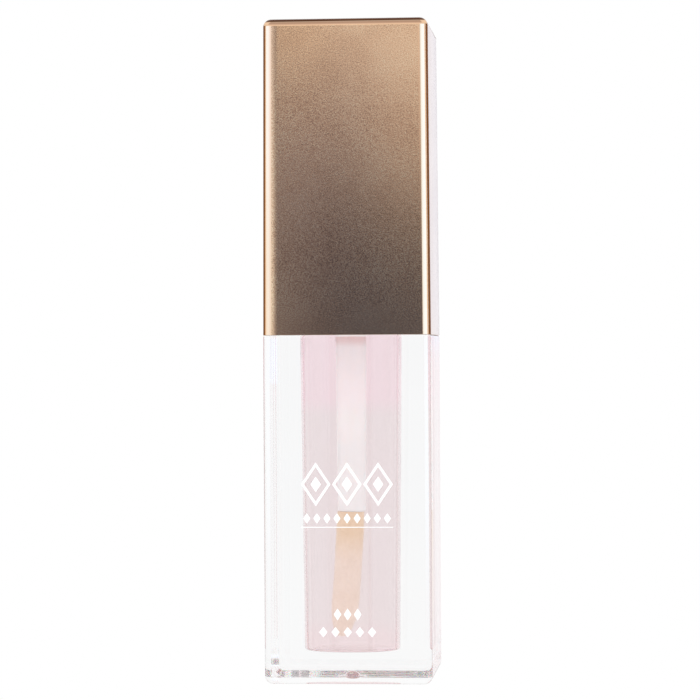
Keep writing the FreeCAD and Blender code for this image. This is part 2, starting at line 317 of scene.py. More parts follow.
def mat_cap():
    m, nt, p = material("satin_rose_gold")
    co = obj_coord(nt)
    sep = nt.nodes.new("ShaderNodeSeparateXYZ")
    nt.links.new(co, sep.inputs[0])
    ax = math_node(nt, "ABSOLUTE", sep.outputs[0])
    ay = math_node(nt, "ABSOLUTE", sep.outputs[1])
    z = sep.outputs[2]
    # rounded edges: the four upright ones, which lean with the faces, and the top one
    slope = (HALF - CAP_TOP_HALF) / (CAP_Z1 - CAP_Z0)
    edge_at = math_node(nt, "SUBTRACT", (HALF - CAP_EDGE + slope * CAP_Z0) * MM, math_node(nt, "MULTIPLY", z, slope))
    upright = smooth(nt, math_node(nt, "SUBTRACT", math_node(nt, "MINIMUM", ax, ay), edge_at), 0.0, 0.00005)
    top = math_node(nt, "MULTIPLY", smooth(nt, z, (CAP_Z1 - CAP_TOP_EDGE) * MM, (CAP_Z1 - CAP_TOP_EDGE + 0.05) * MM),
                    smooth(nt, z, (CAP_Z1 - 0.004) * MM, (CAP_Z1 - 0.02) * MM))
    rounded = math_node(nt, "MAXIMUM", upright, top)
    # the coating stops at the rim: inside is the bare grey plastic
    inside = math_node(nt, "MULTIPLY", smooth(nt, math_node(nt, "MAXIMUM", ax, ay), 0.00915, 0.00905), smooth(nt, z, 0.0783, 0.0781))
    inside = math_node(nt, "MAXIMUM", inside, smooth(nt, z, (CAP_Z0 - LIP + 0.02) * MM, (CAP_Z0 - LIP + 0.005) * MM))
    p.inputs["Coat Weight"].default_value = 0.0
    grain = noise_tex(nt, co, 11500.0, 2.0, 0.6)
    peel = noise_tex(nt, co, 6200.0, 2.0, 0.5)
    cloud = noise_tex(nt, co, 160.0, 2.0, 0.5)
    both = math_node(nt, "ADD", math_node(nt, "MULTIPLY", grain, 0.65), math_node(nt, "MULTIPLY", peel, 0.35))
    flake = math_node(nt, "ADD", math_node(nt, "MULTIPLY", both, 0.85), math_node(nt, "MULTIPLY", cloud, 0.15))
    face = ramp(nt, flake, [(0.39, (0.53, 0.350, 0.235)), (0.50, (0.90, 0.60, 0.390)), (0.61, (1.0, 0.82, 0.58))])
    bevel = ramp(nt, cloud, [(0.3, (0.93, 0.63, 0.41)), (0.7, (0.95, 0.65, 0.43))])

    def mix(f, a, b):
        nd = nt.nodes.new("ShaderNodeMix")
        nd.data_type = "RGBA"
        nt.links.new(f, nd.inputs[0])
        for v, i in ((a, 6), (b, 7)):
            if isinstance(v, tuple):
                nd.inputs[i].default_value = (*v, 1.0)
            else:
                nt.links.new(v, nd.inputs[i])
        return nd.outputs[2]

    col = mix(rounded, face, bevel)
    # painted reflection: a dark brown band along the top's front and back edges, standing in for the dark reflection
    # the rounded top edge shows there
    along = smooth(nt, math_node(nt, "SUBTRACT", ay, ax), -0.001, 0.0)
    painted_reflection_band = math_node(nt, "MULTIPLY", smooth(nt, z, (CAP_Z1 - 0.42) * MM, (CAP_Z1 - 0.32) * MM), smooth(nt, z, (CAP_Z1 - 0.004) * MM, (CAP_Z1 - 0.02) * MM))
    painted_reflection_band = math_node(nt, "MULTIPLY", painted_reflection_band, along)
    col = mix(painted_reflection_band, col, ramp(nt, cloud, [(0.3, (0.11, 0.036, 0.010)), (0.7, (0.14, 0.050, 0.016))]))
    bare = ramp(nt, cloud, [(0.3, (0.46, 0.42, 0.43)), (0.7, (0.52, 0.48, 0.49))])
    nt.links.new(mix(inside, col, bare), p.inputs["Base Color"])
    nt.links.new(math_node(nt, "SUBTRACT", 1.0, inside), p.inputs["Metallic"])
    nt.links.new(bump(nt, both, 0.14, 0.00002), p.inputs["Normal"])
    rough = smooth(nt, grain, 0.3, 0.7, 0.09, 0.13)
    nt.links.new(math_node(nt, "ADD", rough, math_node(nt, "MULTIPLY", inside, 0.35)), p.inputs["Roughness"])
    return m


def mat_rod():
    m, nt, p = material("rod_moulding")
    co = obj_coord(nt)
    streak = noise_tex(nt, co, 900.0, 3.0, 0.5)
    col = ramp(nt, streak, [(0.3, (0.965, 0.905, 0.900)), (0.7, (0.985, 0.930, 0.925))])
    sep = nt.nodes.new("ShaderNodeSeparateXYZ")
    nt.links.new(co, sep.inputs[0])
    # painted shade: the base colour turns darker and pinker near the top, standing in for the cap's shadow and the
    # pink light bounced onto the rod there
    mix = nt.nodes.new("ShaderNodeMix")
    mix.data_type = "RGBA"
    nt.links.new(smooth(nt, sep.outputs[2], 0.0399, 0.0411), mix.inputs[0])
    nt.links.new(col, mix.inputs[6])
    mix.inputs[7].default_value = (0.873, 0.683, 0.668, 1)
    nt.links.new(mix.outputs[2], p.inputs["Base Color"])
    p.inputs["Roughness"].default_value = 0.35
    p.inputs["Subsurface Weight"].default_value = 0.4
    p.inputs["Subsurface Radius"].default_value = (1.0, 0.75, 0.7)
    p.inputs["Subsurface Scale"].default_value = 0.0015
    nt.links.new(bump(nt, streak, 0.1, 0.00003), p.inputs["Normal"])
    return m


def mat_flock():
    m, nt, p = material("peach_flock")
    co = obj_coord(nt)
    pile = noise_tex(nt, co, 4200.0, 4.0, 0.7)
    patch = noise_tex(nt, co, 420.0, 3.0, 0.6)
    mixv = math_node(nt, "ADD", math_node(nt, "MULTIPLY", pile, 0.55), math_node(nt, "MULTIPLY", patch, 0.45))
    warm = ramp(nt, mixv, [(0.30, (0.79, 0.575, 0.385)), (0.52, (0.85, 0.650, 0.465)), (0.72, (0.89, 0.710, 0.540))])
    pale = ramp(nt, mixv, [(0.30, (0.83, 0.660, 0.550)), (0.52, (0.88, 0.725, 0.625)), (0.72, (0.92, 0.785, 0.700))])
    sep = nt.nodes.new("ShaderNodeSeparateXYZ")
    nt.links.new(co, sep.inputs[0])
    mix = nt.nodes.new("ShaderNodeMix")
    mix.data_type = "RGBA"
    nt.links.new(smooth(nt, sep.outputs[2], 0.0135, 0.0185), mix.inputs[0])
    nt.links.new(pale, mix.inputs[6])
    nt.links.new(warm, mix.inputs[7])
    nt.links.new(mix.outputs[2], p.inputs["Base Color"])
    p.inputs["Roughness"].default_value = 0.9
    p.inputs["Sheen Weight"].default_value = 0.4
    p.inputs["Sheen Roughness"].default_value = 0.5
    nt.links.new(bump(nt, mixv, 0.8, 0.00012), p.inputs["Normal"])
    return m


def mat_plain(name, dark, light, rough, scale=1500.0, sss=0.0, depth=0.00002):
    m, nt, p = material(name)
    co = obj_coord(nt)
    f = noise_tex(nt, co, scale, 3.0, 0.55)
    nt.links.new(ramp(nt, f, [(0.3, dark), (0.7, light)]), p.inputs["Base Color"])
    nt.links.new(smooth(nt, f, 0.3, 0.7, rough - 0.05, rough + 0.05), p.inputs["Roughness"])
    if sss:
        p.inputs["Subsurface Weight"].default_value = sss
        p.inputs["Subsurface Scale"].default_value = 0.001
    nt.links.new(bump(nt, f, 0.15, depth), p.inputs["Normal"])
    return m


CLEAR, GLOSS, CAP, ROD, FLOCK = mat_clear(), mat_gloss(), mat_cap(), mat_rod(), mat_flock()
PP = mat_plain("natural_pp", (0.86, 0.86, 0.85), (0.91, 0.91, 0.90), 0.38, 700.0, 0.3)
LDPE = mat_plain("wiper_ldpe", (0.84, 0.84, 0.83), (0.90, 0.90, 0.89), 0.42, 900.0, 0.4)
FOAM = mat_plain("liner_foam", (0.82, 0.82, 0.81), (0.93, 0.93, 0.92), 0.8, 3800.0, 0.0, 0.00006)
CORE = mat_plain("core_nylon", (0.84, 0.82, 0.79), (0.90, 0.88, 0.85), 0.45, 900.0, 0.2)
INK = mat_plain("white_ink", (0.955, 0.955, 0.955), (0.985, 0.985, 0.985), 0.5, 2500.0)
# painted light: the white ink glows faintly, so the print reads brighter than its lighting alone makes it
INK.node_tree.nodes["Principled BSDF"].inputs["Emission Color"].default_value = (1, 1, 1, 1)
INK.node_tree.nodes["Principled BSDF"].inputs["Emission Strength"].default_value = 0.12


def paint(name, mat):
    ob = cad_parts[name]
    ob.data.materials.clear()
    ob.data.materials.append(mat)


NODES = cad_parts
for name, mat in (("wand_rod", ROD), ("wiper", LDPE), ("cap_seal", FOAM),
                  ("inner_cap_skirt", PP), ("inner_cap_crown", PP), ("applicator_core", CORE)):
    if name in NODES:
        paint(name, mat)


# --------------------------------------------------------------------- bottle
def thread_height(theta, z, z0, pitch, turns, root_w, crest_w, height, start=0.0):
    """Height of a helical ridge at (theta, z); it fades in and out."""
    best = np.zeros_like(theta)
    for k in range(-1, int(turns) + 2):
        run = (theta - start) / (2 * math.pi) + k        # turns from the start
        mid = z0 + pitch * run
        d = np.abs(z - mid)
        prof = np.clip((root_w / 2 - d) / ((root_w - crest_w) / 2), 0, 1)
        fade = np.clip(run / 0.06, 0, 1) * np.clip((turns - run) / 0.06, 0, 1)
        fade = np.where((run >= 0) & (run <= turns), fade, 0)
        best = np.maximum(best, prof * fade)
    return best * height


def arc(n):
    return np.linspace(0, math.pi / 2, n + 1)


def make_bottle():
    R = Rings(12, 22)
    N = R.normal
    # underside: dimple, gate recess, flat base
    sph_r = (1.0 ** 2 + 0.58 ** 2) / (2 * 0.58)
    cz = 1.0 - sph_r
    a_end = math.asin(1.0 / sph_r)
    first = True
    for a in np.linspace(a_end / 8, a_end, 8):
        rr, zz = sph_r * math.sin(a), cz + sph_r * math.cos(a)
        nn = N("c", -math.sin(a), -math.cos(a))
        if first:
            R.start(R.circle(rr, zz)); first = False
        else:
            R.to(R.circle(rr, zz), prev, nn)
        prev = nn
    dn = N("c", 0, -1)
    R.to(R.circle(1.60, 0.42), dn)
    for t in arc(4)[1:]:
        R.to(R.circle(1.60 + 0.15 * math.sin(t), 0.42 - 0.15 * (1 - math.cos(t))),
             N("c", -math.sin(t - math.pi / 8), -math.cos(t - math.pi / 8)), N("c", -math.sin(t), -math.cos(t)))
    R.to(R.circle(1.75, 0.10), N("c", -1, 0))
    for t in arc(4)[1:]:
        R.to(R.circle(1.75 + 0.10 * (1 - math.cos(t)), 0.10 - 0.10 * math.sin(t)),
             N("c", -math.cos(t - math.pi / 8), -math.sin(t - math.pi / 8)), N("c", -math.cos(t), -math.sin(t)))
    R.to(R.circle(5.0, 0.0), dn)
    R.to(R.square(HALF - EDGE, 0.02, 0.0), dn)
    # bottom fillet
    last = N("s", 0, -1)
    for t in arc(12)[1:]:
        nn = N("s", math.sin(t), -math.cos(t))
        R.to(R.square(HALF - EDGE + EDGE * math.sin(t), EDGE * math.sin(t), EDGE - EDGE * math.cos(t)), last, nn)
        last = nn
    side = N("s", 1, 0)
    for z in np.linspace(EDGE, SHOULDER - 0.25, 12)[1:]:
        R.to(R.square(HALF, EDGE, z), side)
    last = side
    for t in arc(5)[1:]:
        nn = N("s", math.cos(t), math.sin(t))
        R.to(R.square(HALF - 0.25 * (1 - math.cos(t)), EDGE - 0.25 * (1 - math.cos(t)), SHOULDER - 0.25 + 0.25 * math.sin(t)), last, nn)
        last = nn
    up = N("c", 0, 1)
    R.to(R.square(8.9, 1.6, SHOULDER), up)
    R.to(R.circle(NECK_R + 0.3, SHOULDER), up)
    last = up
    for t in arc(5)[1:]:
        nn = N("c", math.sin(t), math.cos(t))
        R.to(R.circle(NECK_R + 0.3 - 0.3 * math.sin(t), SHOULDER + 0.3 - 0.3 * math.cos(t)), last, nn)
        last = nn
    # threaded neck; its normals come from its shape
    theta = np.mod(R.ang, 2 * math.pi)
    z_top = NECK_TOP - 0.3
    for z in np.linspace(SHOULDER + 0.3, z_top, 96)[1:]:
        ring = R.circle(1.0, z)
        rr = NECK_R + thread_height(theta, z, 44.3, 3.0, 1.5, 1.3, 0.55, THREAD_R - NECK_R)
        ring[:, 0] *= rr
        ring[:, 1] *= rr
        R.to(ring, None)
    last = N("c", 1, 0)
    for t in arc(5)[1:]:
        nn = N("c", math.cos(t), math.sin(t))
        R.to(R.circle(NECK_R - 0.3 * (1 - math.cos(t)), z_top + 0.3 * math.sin(t)), last, nn)
        last = nn
    R.to(R.circle(WELL_R1 + 0.15, NECK_TOP), up)
    last = up
    for t in arc(4)[1:]:
        nn = N("c", -math.sin(t), math.cos(t))
        R.to(R.circle(WELL_R1 + 0.15 - 0.15 * math.sin(t), NECK_TOP - 0.15 * (1 - math.cos(t))), last, nn)
        last = nn
    inward = N("c", -1, 0)
    R.to(R.circle(WELL_R1, SHOULDER), inward)
    slope = (WELL_R1 - WELL_R0) / (SHOULDER - WELL_FLOOR)
    cone = N("c", -1, slope)
    for z in np.linspace(SHOULDER, WELL_FLOOR + WELL_FILLET, 16)[1:]:
        R.to(R.circle(well_r(z), z), cone)
    last = cone
    r_f = well_r(WELL_FLOOR + WELL_FILLET) - WELL_FILLET
    for t in arc(8)[1:]:
        nn = N("c", -math.cos(t), math.sin(t))
        R.to(R.circle(r_f + WELL_FILLET * math.cos(t), WELL_FLOOR + WELL_FILLET - WELL_FILLET * math.sin(t)), last, nn)
        last = nn
    R.to(R.circle(0.8, WELL_FLOOR), up)
    ob = R.build("bottle_clear", pole0=(0, 0, 1.0), n_pole0=(0, 0, -1), pole1=(0, 0, WELL_FLOOR), n_pole1=(0, 0, 1))
    ob.data.materials.append(CLEAR)
    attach(ob, "bottle")
    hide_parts("bottle")
    ob.visible_diffuse = False
    return ob


def make_gloss():
    """The gloss wets the well's wall: its skin lies 0.05 mm inside the wall."""
    R = Rings(12, 22)
    N = R.normal
    w = 0.05
    dn, out = N("c", 0, -1), None
    R.start(R.circle(0.8, WELL_FLOOR - w))
    r_f = well_r(WELL_FLOOR + WELL_FILLET) - WELL_FILLET
    R.to(R.circle(r_f, WELL_FLOOR - w), dn)
    last = dn
    rf = WELL_FILLET + w
    for t in arc(8)[1:]:
        nn = N("c", math.sin(t), -math.cos(t))
        R.to(R.circle(r_f + rf * math.sin(t), WELL_FLOOR + WELL_FILLET - rf * math.cos(t)), last, nn)
        last = nn
    slope = (WELL_R1 - WELL_R0) / (SHOULDER - WELL_FLOOR)
    cone = N("c", 1, -slope)
    for z in np.linspace(WELL_FLOOR + WELL_FILLET, SHOULDER, 16)[1:]:
        R.to(R.circle(well_r(z) + w, z), cone)
    R.to(R.circle(WELL_R1 + w, GLOSS_TOP), N("c", 1, 0))
    up = N("c", 0, 1)
    last_r = WELL_R1 + w
    for k, (rr, zz) in enumerate(((5.8, -0.14), (5.2, -0.24), (4.2, -0.30), (3.0, -0.32), (1.2, -0.32))):
        R.to(R.circle(rr, GLOSS_TOP + zz), None)
    ob = R.build("gloss_liquid", pole0=(0, 0, WELL_FLOOR - w), n_pole0=(0, 0, -1),
                 pole1=(0, 0, GLOSS_TOP - 0.32), n_pole1=(0, 0, 1))
    ob.data.materials.append(GLOSS)
    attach(ob, "bottle")
    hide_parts("gloss_fill")
    ob.visible_diffuse = False
    return ob


# ------------------------------------------------------------------ cap shell
def make_cap():
    R = Rings(16, 24)
    crown = math.radians(1.5)

    turn_in = math.radians(5.0)
    flat = np.array([0.0 if t is None else 1.0 for _, t in R.base])
    pos = R.square(HALF, CAP_EDGE, 0.0)
    tx = np.where(np.abs(R.lat[:, 0]) > 0.5, 0.0, pos[:, 0] / HALF)
    ty = np.where(np.abs(R.lat[:, 1]) > 0.5, 0.0, pos[:, 1] / HALF)
    tilt = np.column_stack([tx, ty, np.zeros(R.n)]) * (math.tan(crown) * flat)[:, None]
    arc_n = np.array([t is None for _, t in R.base])
    per = R.n // 4
    k_in = np.minimum(np.arange(R.n) % per, 16)
    soft = math.pi / 2 * np.array([k for k, _ in R.base]) + turn_in + k_in / 16 * (math.pi / 2 - 2 * turn_in)
    corner = np.column_stack([np.cos(soft), np.sin(soft), np.zeros(R.n)])

    def N(kind, nr, nz):
        """Face normals with the very slight crown of a moulded wall, which
        runs softly into the corner radii."""
        v = R.normal(kind, nr, nz)
        if kind != "s" or nr <= 0:
            return v
        side_dir = np.where(arc_n[:, None], corner, R.lat + tilt)
        v = side_dir * nr
        v[:, 2] = nz
        return v / np.linalg.norm(v, axis=1)[:, None]

    lean = (HALF - CAP_TOP_HALF) / (CAP_Z1 - CAP_Z0)

    def h_at(z):
        return HALF - (z - CAP_Z0) * lean

    up, dn = N("s", 0, 1), N("s", 0, -1)
    ht = h_at(CAP_Z1 - CAP_TOP_EDGE)
    R.start(R.circle(3.0, CAP_Z1))
    R.to(R.square(ht - CAP_TOP_EDGE, CAP_EDGE - CAP_TOP_EDGE, CAP_Z1), up)
    last = up
    side = N("s", 1, lean)
    for t in arc(12)[1:]:
        nn = N("s", math.sin(t), math.cos(t)) if t < 1.5 else side
        R.to(R.square(ht - CAP_TOP_EDGE + CAP_TOP_EDGE * math.sin(t),
                      CAP_EDGE - CAP_TOP_EDGE + CAP_TOP_EDGE * math.sin(t),
                      CAP_Z1 - CAP_TOP_EDGE + CAP_TOP_EDGE * math.cos(t)), last, nn)
        last = nn
    z_low = CAP_Z0 - LIP + 0.04
    for z in np.linspace(CAP_Z1 - CAP_TOP_EDGE, z_low, 14)[1:]:
        R.to(R.square(h_at(z), CAP_EDGE, z), side)
    last = side
    for t in arc(4)[1:]:
        nn = N("s", math.cos(t), -math.sin(t))
        R.to(R.square(h_at(z_low) - 0.04 * (1 - math.cos(t)), CAP_EDGE - 0.04 * (1 - math.cos(t)), z_low - 0.04 * math.sin(t)), last, nn)
        last = nn
    hi0 = HALF - CAP_WALL
    R.to(R.square(hi0 + 0.1, 0.7, CAP_Z0 - LIP), dn)
    R.to(R.square(hi0, 0.6, CAP_Z0 + 0.1), N("s", -1, -1))
    z_roof = CAP_Z1 - CAP_ROOF
    hi1 = CAP_TOP_HALF - CAP_WALL
    inner = N("s", -1, 0)
    for z in np.linspace(CAP_Z0 + 0.1, z_roof - 0.6, 8)[1:]:
        f = (z - CAP_Z0) / (z_roof - CAP_Z0)
        R.to(R.square(hi0 + (hi1 - hi0) * f, 0.6, z), inner)
    last = inner
    f = (z_roof - 0.6 - CAP_Z0) / (z_roof - CAP_Z0)
    hr = hi0 + (hi1 - hi0) * f
    for t in arc(6)[1:]:
        nn = N("s", -math.cos(t), -math.sin(t))
        R.to(R.square(hr - 0.6 * (1 - math.cos(t)), 0.6 * math.cos(t), z_roof - 0.6 + 0.6 * math.sin(t)), last, nn)
        last = nn
    R.to(R.circle(3.0, z_roof), dn)
    ob = R.build("cap_over_shell", pole0=(0, 0, CAP_Z1), n_pole0=(0, 0, 1), pole1=(0, 0, z_roof), n_pole1=(0, 0, -1))
    ob.data.materials.append(CAP)
    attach(ob, "cap")
    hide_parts("cap_shell")
    ob.visible_glossy = False
    ob.visible_diffuse = False
    return ob


# ---------------------------------------------------------------- flocked tip
TIP = [(20.15, -0.12, 1.74, 1.74), (18.5, -0.20, 1.78, 1.76), (15.5, -0.38, 1.79, 1.76),
       (12.2, -0.61, 1.77, 1.74), (9.8, -0.80, 1.78, 1.72), (8.2, -0.94, 1.72, 1.66),
       (7.0, -1.08, 1.52, 1.52), (6.1, -1.20, 1.22, 1.28), (5.45, -1.28, 0.82, 0.92),
       (5.12, -1.32, 0.36, 0.44)]


def tip_at(z):
    zs = np.array([t[0] for t in TIP])[::-1]
    return [float(np.interp(z, zs, np.array([t[i] for t in TIP])[::-1])) for i in (1, 2, 3)]


def make_tip():
    """Flock: a short pile, so the skin is finely lumpy, with loose fibres."""
    n = 120
    verts, faces = [], []
    zs = np.concatenate([np.linspace(ROD_END + 0.02, 7.0, 150), np.linspace(7.0, 5.12, 34)[1:]])
    from mathutils import noise, Vector
    for z in zs:
        cx, a, b = tip_at(z)
        a, b = a - 0.07, b - 0.07
        for i in range(n):
            t = 2 * math.pi * i / n
            q = Vector((a * math.cos(t), b * math.sin(t), z))
            lump = noise.noise(q * 2.2) * 0.035 + noise.noise(q * 6.5 + Vector((7, 3, 1))) * 0.04 + noise.noise(q * 14) * 0.025
            verts.append(((cx + (a + lump) * math.cos(t)) * MM, (b + lump) * math.sin(t) * MM, z * MM))
    m = len(zs)
    for k in range(m - 1):
        for i in range(n):
            j = (i + 1) % n
            faces.append((k * n + i, (k + 1) * n + i, (k + 1) * n + j, k * n + j))
    verts.append((TIP[0][1] * MM, 0, (ROD_END + 0.02) * MM))
    verts.append((TIP[-1][1] * MM, 0, 5.12 * MM))
    top, bot = len(verts) - 2, len(verts) - 1
    for i in range(n):
        j = (i + 1) % n
        faces.append((top, i, j))
        faces.append((bot, (m - 1) * n + j, (m - 1) * n + i))
    me = bpy.data.meshes.new("tip_pile")
    me.from_pydata(verts, [], faces)
    me.update()
    if sum(f.normal.dot(f.center) * f.area for f in me.polygons) < 0:
        me.flip_normals()
    me.polygons.foreach_set("use_smooth", [True] * len(me.polygons))
    ob = bpy.data.objects.new("tip_pile", me)
    bpy.context.scene.collection.objects.link(ob)
    me.materials.append(FLOCK)
    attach(ob, "wand")
    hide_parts("applicator_flock")
    # loose fibres standing off the pile
    fv, ff = [], []
    for _ in range(2600):
        z = rng.uniform(5.3, 20.05)
        t = rng.uniform(0, 2 * math.pi)
        cx, a, b = tip_at(z)
        base = np.array([cx + (a - 0.12) * math.cos(t), (b - 0.12) * math.sin(t), z])
        out = np.array([math.cos(t) / a, math.sin(t) / b, -0.35 if z < 7.5 else 0.0])
        out /= np.linalg.norm(out)
        d = out + rng.normal(0, 0.35, 3)
        d /= np.linalg.norm(d)
        ln = rng.uniform(0.14, 0.24)
        u = np.cross(d, [0.3, 0.5, 0.81])
        u /= np.linalg.norm(u)
        v = np.cross(d, u)
        k = len(fv)
        w = 0.011
        for c, s in ((1, 0), (-0.5, 0.866), (-0.5, -0.866)):
            fv.append(tuple((base + (u * c + v * s) * w) * MM))
        fv.append(tuple((base + d * ln) * MM))
        ff += [(k, k + 2, k + 1), (k, k + 1, k + 3), (k + 1, k + 2, k + 3), (k + 2, k, k + 3)]
    me = bpy.data.meshes.new("tip_fibres")
    me.from_pydata(fv, [], ff)
    me.update()
    fo = bpy.data.objects.new("tip_fibres", me)
    bpy.context.scene.collection.objects.link(fo)
    me.materials.append(FLOCK)
    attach(fo, "wand")
    return ob


# -------------------------------------------------------------- front ornament
def make_print():
    """Screen-printed ornament in white ink: plain lozenges and short bars."""
    verts, faces = [], []

    def slab(poly):
        k, n = len(verts), len(poly)
        for x, z in poly:
            verts.append((x * MM, (-HALF - 0.022) * MM, z * MM))
        for x, z in poly:
            verts.append((x * MM, (-HALF - 0.002) * MM, z * MM))
        faces.append(tuple(range(k, k + n)))
        faces.append(tuple(range(k + 2 * n - 1, k + n - 1, -1)))
        for i in range(n):
            j = (i + 1) % n
            faces.append((k + i, k + n + i, k + n + j, k + j))

    def lozenge(cx, cz, w, h):
        slab([(cx - w, cz), (cx, cz - h), (cx + w, cz), (cx, cz + h)])

    def frame_lozenge(cx, cz, w, h, t):
        f = (w - t) / w
        o = [(cx - w, cz), (cx, cz - h), (cx + w, cz), (cx, cz + h)]
        q = [(cx + (x - cx) * f, cz + (z - cz) * f) for x, z in o]
        k = len(verts)
        for y in (-HALF - 0.022, -HALF - 0.002):
            for x, z in o + q:
                verts.append((x * MM, y * MM, z * MM))
        for i in range(4):
            j = (i + 1) % 4
            faces.append((k + i, k + j, k + 4 + j, k + 4 + i))
            faces.append((k + 8 + j, k + 8 + i, k + 12 + i, k + 12 + j))
            faces.append((k + j, k + i, k + 8 + i, k + 8 + j))
            faces.append((k + 4 + i, k + 4 + j, k + 12 + j, k + 12 + i))

    def bar(x0, x1, z, t):
        slab([(x0, z - t / 2), (x1, z - t / 2), (x1, z + t / 2), (x0, z + t / 2)])

    for cx in (-3.72, 0.0, 3.72):
        frame_lozenge(cx, 23.8, 1.76, 2.6, 0.36)
        lozenge(cx, 23.8, 0.62, 0.92)
    for i in range(9):
        lozenge(-4.8 + 1.2 * i, 19.75, 0.42, 0.62)
    bar(-5.5, 5.5, 18.7, 0.10)
    for i in range(3):
        lozenge(-1.2 + 1.2 * i, 8.35, 0.46, 0.72)
    for i in range(5):
        lozenge(-2.9 + 1.45 * i, 6.25, 0.5, 0.62)
    me = bpy.data.meshes.new("front_ornament")
    me.from_pydata(verts, [], faces)
    me.update()
    ob = bpy.data.objects.new("front_ornament", me)
    bpy.context.scene.collection.objects.link(ob)
    me.materials.append(INK)
    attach(ob, "bottle")
    return ob


make_bottle()
make_gloss()
make_cap()
make_tip()
make_print()


# ---------------------------------------------------------------- floor, light
def make_floor():
    me = bpy.data.meshes.new("floor")
    s = 3.0
    d = -0.03 * MM                              # just clear of the base, which it would otherwise touch
    me.from_pydata([(-s, -s, d), (s, -s, d), (s, s, d), (-s, s, d)], [], [(0, 1, 2, 3)])
    ob = bpy.data.objects.new("floor", me)
    bpy.context.scene.collection.objects.link(ob)
    m = bpy.data.materials.new("pale_floor")
    m.use_nodes = True
    nt = m.node_tree
    p = nt.nodes["Principled BSDF"]
    p.inputs["Base Color"].default_value = (0.9, 0.9, 0.9, 1)
    p.inputs["Roughness"].default_value = 0.9
    p.inputs["Specular IOR Level"].default_value = 0.0
    em = nt.nodes.new("ShaderNodeEmission")
    em.inputs["Strength"].default_value = 1.0
    lp = nt.nodes.new("ShaderNodeLightPath")
    seen = math_node(nt, "LESS_THAN", lp.outputs["Diffuse Depth"], 0.5)
    mixs = nt.nodes.new("ShaderNodeMixShader")
    nt.links.new(math_node(nt, "MULTIPLY", seen, 1.0), mixs.inputs[0])
    nt.links.new(p.outputs[0], mixs.inputs[1])
    nt.links.new(em.outputs[0], mixs.inputs[2])
    nt.links.new(mixs.outputs[0], nt.nodes["Material Output"].inputs["Surface"])
    me.materials.append(m)
    ob.visible_glossy = False
    return ob


make_floor()


FRONT = {  # soft gradient a front face mirrors: (elevation, colour) at three azimuths
    "left": [(-8, (0.15, 0.16, 0.21)), (1.5, (0.16, 0.16, 0.19)), (3.1, (0.19, 0.18, 0.23)), (4.7, (0.26, 0.21, 0.25)), (6.2, (0.26, 0.24, 0.29)), (6.8, (1.28, 1.17, 0.99)), (9, (1.00, 0.98, 0.90)), (30, (1.00, 0.98, 0.90))],
    "mid": [(-8, (0.06, 0.07, 0.11)), (1.5, (0.06, 0.07, 0.11)), (3.1, (0.07, 0.08, 0.13)), (4.7, (0.33, 0.31, 0.36)), (6.2, (0.46, 0.45, 0.51)), (6.8, (0.84, 0.77, 0.75)), (9, (0.95, 0.93, 0.86)), (30, (1.00, 0.98, 0.90))],
    "right": [(-8, (0.09, 0.09, 0.13)), (1.5, (0.07, 0.08, 0.12)), (3.1, (0.10, 0.11, 0.14)), (4.7, (0.65, 0.59, 0.57)), (6.2, (0.65, 0.58, 0.57)), (6.8, (0.90, 0.86, 0.86)), (9, (0.95, 0.93, 0.86)), (30, (1.00, 0.98, 0.90))],
}


